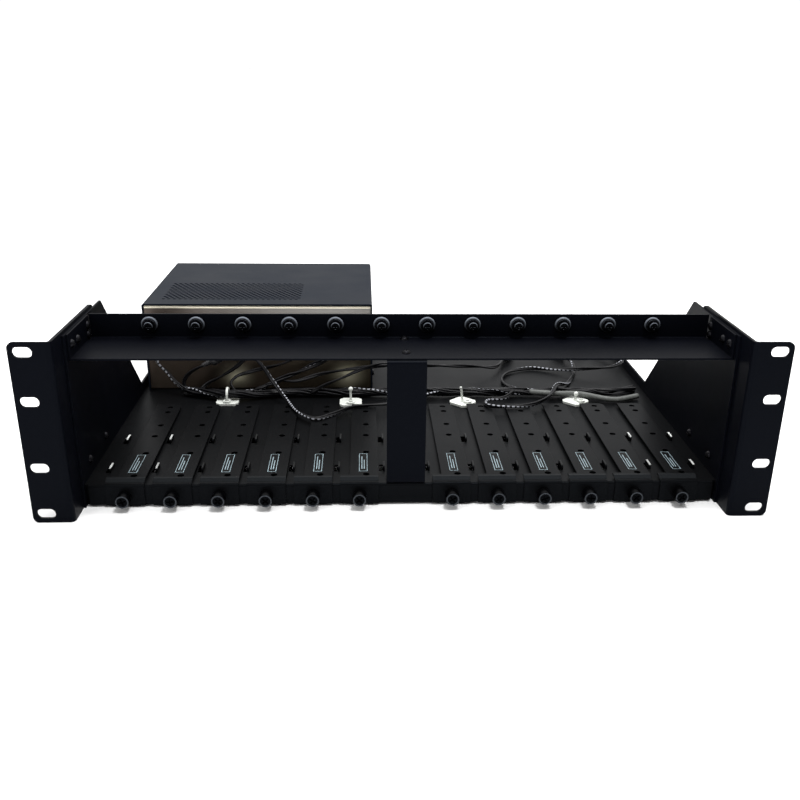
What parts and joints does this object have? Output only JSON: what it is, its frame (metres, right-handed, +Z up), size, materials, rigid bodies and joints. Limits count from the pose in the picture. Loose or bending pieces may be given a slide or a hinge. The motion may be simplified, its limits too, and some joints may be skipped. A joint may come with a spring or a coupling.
{
  "type": "media converter chassis",
  "caption": "Open rack shelf for plug-in converter modules: slotted ears, pull-out carriers with thumbscrews, a top rail, and a power supply box with a lead harness behind.",
  "frame": {"origin": "centre of the bounding box at its base: the plane that the chassis stands on", "axes": "+Z up, +Y to the rear, the rack ears' front faces look along -Y, +X to the right seen from the front"},
  "size_m": [0.4826, 0.381, 0.1207],
  "materials": {
    "black_coat": "fine satin black powder coat",
    "bare_steel": "dull bare sheet",
    "circuit_board": "green board with dark parts",
    "inlet_black": "moulded",
    "rubber_black": "moulded",
    "clip_white": "moulded nylon",
    "lead_black": "flexible insulation",
    "plug_black": "moulded grip",
    "screw_black": "black zinc",
    "knob_black": "gloss black",
    "cap_black": "gloss black"
  },
  "bodies": {
    "chassis": {"chassis_deck": "black_coat", "left_side_panel": "black_coat", "right_side_panel": "black_coat", "left_rack_ear": "black_coat", "right_rack_ear": "black_coat", "top_rail": "black_coat", "centre_plate": "black_coat", "pan_head_screws": "screw_black", "psu_base": "bare_steel", "psu_cover": "black_coat", "psu_board": "circuit_board", "ac_inlet": "inlet_black", "outlet_grommets": "rubber_black", "cable_clips": "clip_white", "dc_harness": "lead_black", "dc_lead_1": "lead_black", "dc_lead_2": "lead_black", "dc_lead_3": "lead_black", "dc_lead_4": "lead_black", "dc_lead_5": "lead_black", "dc_lead_6": "lead_black", "dc_lead_7": "lead_black", "dc_lead_8": "lead_black", "dc_plugs": "plug_black"},
    "tray_01": {"carrier_01": "black_coat"},
    "tray_screw_01": {"carrier_screw_01": "knob_black"},
    "rail_knob_01": {"rail_screw_01": "cap_black"},
    "tray_02": {"carrier_02": "black_coat"},
    "tray_screw_02": {"carrier_screw_02": "knob_black"},
    "rail_knob_02": {"rail_screw_02": "cap_black"},
    "tray_03": {"carrier_03": "black_coat"},
    "tray_screw_03": {"carrier_screw_03": "knob_black"},
    "rail_knob_03": {"rail_screw_03": "cap_black"},
    "tray_04": {"carrier_04": "black_coat"},
    "tray_screw_04": {"carrier_screw_04": "knob_black"},
    "rail_knob_04": {"rail_screw_04": "cap_black"},
    "tray_05": {"carrier_05": "black_coat"},
    "tray_screw_05": {"carrier_screw_05": "knob_black"},
    "rail_knob_05": {"rail_screw_05": "cap_black"},
    "tray_06": {"carrier_06": "black_coat"},
    "tray_screw_06": {"carrier_screw_06": "knob_black"},
    "rail_knob_06": {"rail_screw_06": "cap_black"},
    "tray_07": {"carrier_07": "black_coat"},
    "tray_screw_07": {"carrier_screw_07": "knob_black"},
    "rail_knob_07": {"rail_screw_07": "cap_black"},
    "tray_08": {"carrier_08": "black_coat"},
    "tray_screw_08": {"carrier_screw_08": "knob_black"},
    "rail_knob_08": {"rail_screw_08": "cap_black"},
    "tray_09": {"carrier_09": "black_coat"},
    "tray_screw_09": {"carrier_screw_09": "knob_black"},
    "rail_knob_09": {"rail_screw_09": "cap_black"},
    "tray_10": {"carrier_10": "black_coat"},
    "tray_screw_10": {"carrier_screw_10": "knob_black"},
    "rail_knob_10": {"rail_screw_10": "cap_black"},
    "tray_11": {"carrier_11": "black_coat"},
    "tray_screw_11": {"carrier_screw_11": "knob_black"},
    "rail_knob_11": {"rail_screw_11": "cap_black"},
    "tray_12": {"carrier_12": "black_coat"},
    "tray_screw_12": {"carrier_screw_12": "knob_black"},
    "rail_knob_12": {"rail_screw_12": "cap_black"}
  },
  "joints": [
    {"name": "carrier_slide_01", "type": "slide", "parent": "chassis", "child": "tray_01", "axis": [0, -1, 0], "range_m": [0, 0.15]},
    {"name": "carrier_screw_turn_01", "type": "hinge", "parent": "tray_01", "child": "tray_screw_01", "pos_m": [-0.1872, -0.1695, 0.0082], "axis": [0, -1, 0], "continuous": true},
    {"name": "rail_screw_turn_01", "type": "hinge", "parent": "chassis", "child": "rail_knob_01", "pos_m": [-0.1716, -0.1175, 0.1119], "axis": [0, -1, 0], "continuous": true},
    {"name": "carrier_slide_02", "type": "slide", "parent": "chassis", "child": "tray_02", "axis": [0, -1, 0], "range_m": [0, 0.15]},
    {"name": "carrier_screw_turn_02", "type": "hinge", "parent": "tray_02", "child": "tray_screw_02", "pos_m": [-0.156, -0.1695, 0.0082], "axis": [0, -1, 0], "continuous": true},
    {"name": "rail_screw_turn_02", "type": "hinge", "parent": "chassis", "child": "rail_knob_02", "pos_m": [-0.1404, -0.1175, 0.1119], "axis": [0, -1, 0], "continuous": true},
    {"name": "carrier_slide_03", "type": "slide", "parent": "chassis", "child": "tray_03", "axis": [0, -1, 0], "range_m": [0, 0.15]},
    {"name": "carrier_screw_turn_03", "type": "hinge", "parent": "tray_03", "child": "tray_screw_03", "pos_m": [-0.1248, -0.1695, 0.0082], "axis": [0, -1, 0], "continuous": true},
    {"name": "rail_screw_turn_03", "type": "hinge", "parent": "chassis", "child": "rail_knob_03", "pos_m": [-0.1092, -0.1175, 0.1119], "axis": [0, -1, 0], "continuous": true},
    {"name": "carrier_slide_04", "type": "slide", "parent": "chassis", "child": "tray_04", "axis": [0, -1, 0], "range_m": [0, 0.15]},
    {"name": "carrier_screw_turn_04", "type": "hinge", "parent": "tray_04", "child": "tray_screw_04", "pos_m": [-0.0936, -0.1695, 0.0082], "axis": [0, -1, 0], "continuous": true},
    {"name": "rail_screw_turn_04", "type": "hinge", "parent": "chassis", "child": "rail_knob_04", "pos_m": [-0.078, -0.1175, 0.1119], "axis": [0, -1, 0], "continuous": true},
    {"name": "carrier_slide_05", "type": "slide", "parent": "chassis", "child": "tray_05", "axis": [0, -1, 0], "range_m": [0, 0.15]},
    {"name": "carrier_screw_turn_05", "type": "hinge", "parent": "tray_05", "child": "tray_screw_05", "pos_m": [-0.0624, -0.1695, 0.0082], "axis": [0, -1, 0], "continuous": true},
    {"name": "rail_screw_turn_05", "type": "hinge", "parent": "chassis", "child": "rail_knob_05", "pos_m": [-0.0468, -0.1175, 0.1119], "axis": [0, -1, 0], "continuous": true},
    {"name": "carrier_slide_06", "type": "slide", "parent": "chassis", "child": "tray_06", "axis": [0, -1, 0], "range_m": [0, 0.15]},
    {"name": "carrier_screw_turn_06", "type": "hinge", "parent": "tray_06", "child": "tray_screw_06", "pos_m": [-0.0312, -0.1695, 0.0082], "axis": [0, -1, 0], "continuous": true},
    {"name": "rail_screw_turn_06", "type": "hinge", "parent": "chassis", "child": "rail_knob_06", "pos_m": [-0.0156, -0.1175, 0.1119], "axis": [0, -1, 0], "continuous": true},
    {"name": "carrier_slide_07", "type": "slide", "parent": "chassis", "child": "tray_07", "axis": [0, -1, 0], "range_m": [0, 0.15]},
    {"name": "carrier_screw_turn_07", "type": "hinge", "parent": "tray_07", "child": "tray_screw_07", "pos_m": [0.0312, -0.1695, 0.0082], "axis": [0, -1, 0], "continuous": true},
    {"name": "rail_screw_turn_07", "type": "hinge", "parent": "chassis", "child": "rail_knob_07", "pos_m": [0.0156, -0.1175, 0.1119], "axis": [0, -1, 0], "continuous": true},
    {"name": "carrier_slide_08", "type": "slide", "parent": "chassis", "child": "tray_08", "axis": [0, -1, 0], "range_m": [0, 0.15]},
    {"name": "carrier_screw_turn_08", "type": "hinge", "parent": "tray_08", "child": "tray_screw_08", "pos_m": [0.0624, -0.1695, 0.0082], "axis": [0, -1, 0], "continuous": true},
    {"name": "rail_screw_turn_08", "type": "hinge", "parent": "chassis", "child": "rail_knob_08", "pos_m": [0.0468, -0.1175, 0.1119], "axis": [0, -1, 0], "continuous": true},
    {"name": "carrier_slide_09", "type": "slide", "parent": "chassis", "child": "tray_09", "axis": [0, -1, 0], "range_m": [0, 0.15]},
    {"name": "carrier_screw_turn_09", "type": "hinge", "parent": "tray_09", "child": "tray_screw_09", "pos_m": [0.0936, -0.1695, 0.0082], "axis": [0, -1, 0], "continuous": true},
    {"name": "rail_screw_turn_09", "type": "hinge", "parent": "chassis", "child": "rail_knob_09", "pos_m": [0.078, -0.1175, 0.1119], "axis": [0, -1, 0], "continuous": true},
    {"name": "carrier_slide_10", "type": "slide", "parent": "chassis", "child": "tray_10", "axis": [0, -1, 0], "range_m": [0, 0.15]},
    {"name": "carrier_screw_turn_10", "type": "hinge", "parent": "tray_10", "child": "tray_screw_10", "pos_m": [0.1248, -0.1695, 0.0082], "axis": [0, -1, 0], "continuous": true},
    {"name": "rail_screw_turn_10", "type": "hinge", "parent": "chassis", "child": "rail_knob_10", "pos_m": [0.1092, -0.1175, 0.1119], "axis": [0, -1, 0], "continuous": true},
    {"name": "carrier_slide_11", "type": "slide", "parent": "chassis", "child": "tray_11", "axis": [0, -1, 0], "range_m": [0, 0.15]},
    {"name": "carrier_screw_turn_11", "type": "hinge", "parent": "tray_11", "child": "tray_screw_11", "pos_m": [0.156, -0.1695, 0.0082], "axis": [0, -1, 0], "continuous": true},
    {"name": "rail_screw_turn_11", "type": "hinge", "parent": "chassis", "child": "rail_knob_11", "pos_m": [0.1404, -0.1175, 0.1119], "axis": [0, -1, 0], "continuous": true},
    {"name": "carrier_slide_12", "type": "slide", "parent": "chassis", "child": "tray_12", "axis": [0, -1, 0], "range_m": [0, 0.15]},
    {"name": "carrier_screw_turn_12", "type": "hinge", "parent": "tray_12", "child": "tray_screw_12", "pos_m": [0.1872, -0.1695, 0.0082], "axis": [0, -1, 0], "continuous": true},
    {"name": "rail_screw_turn_12", "type": "hinge", "parent": "chassis", "child": "rail_knob_12", "pos_m": [0.1716, -0.1175, 0.1119], "axis": [0, -1, 0], "continuous": true}
  ]
}
